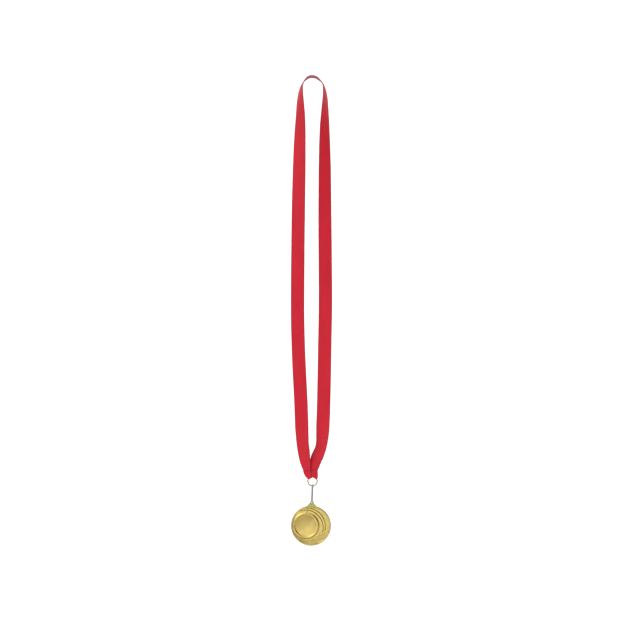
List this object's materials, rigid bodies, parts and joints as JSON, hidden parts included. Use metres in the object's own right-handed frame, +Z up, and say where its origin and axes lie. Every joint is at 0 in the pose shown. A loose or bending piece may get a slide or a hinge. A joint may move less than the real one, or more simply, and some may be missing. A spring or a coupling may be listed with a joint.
{
  "type": "award medal on a neck ribbon",
  "caption": "Round cast award medal with a lug, hung by an oblong link and a jump ring from a narrow neck ribbon folded and sewn round the ring.",
  "frame": {"origin": "underside of the ribbon at the top of its arch, where a peg or a neck holds it", "axes": "+Z up along the hanging ribbon, -Y the medal's front, +X to the right of a viewer in front"},
  "size_m": [0.0465, 0.015, 0.5302],
  "materials": {
    "ribbon_cloth": "woven polyester ribbon, satin sheen",
    "thread": "twisted polyester thread",
    "ring_wire": "dull antique gold plating",
    "link_wire": "dull nickel plating",
    "medal_gold": "satin gold plating over a cast blank"
  },
  "bodies": {
    "ribbon": {"ribbon": "ribbon_cloth", "seam_thread": "thread"},
    "hem": {"ribbon_hem": "ribbon_cloth"},
    "ring": {"jump_ring": "ring_wire"},
    "link": {"oblong_link": "link_wire"},
    "medal": {"medal": "medal_gold"}
  },
  "joints": [
    {"name": "hem_flex", "type": "hinge", "parent": "ribbon", "child": "hem", "pos_m": [0.0006, 0, -0.4472], "axis": [1, 0, 0], "range_deg": [-75, 75]},
    {"name": "ring_roll", "type": "hinge", "parent": "hem", "child": "ring", "pos_m": [0.0006, 0, -0.4569], "axis": [0, 1, 0], "range_deg": [-50, 50]},
    {"name": "link_swing", "type": "hinge", "parent": "ring", "child": "link", "pos_m": [0.0006, 0, -0.46215], "axis": [1, 0, 0], "range_deg": [-80, 80]},
    {"name": "medal_swing", "type": "hinge", "parent": "link", "child": "medal", "pos_m": [-0.00011, 0, -0.48064], "axis": [0, 1, 0], "range_deg": [-90, 90]}
  ]
}
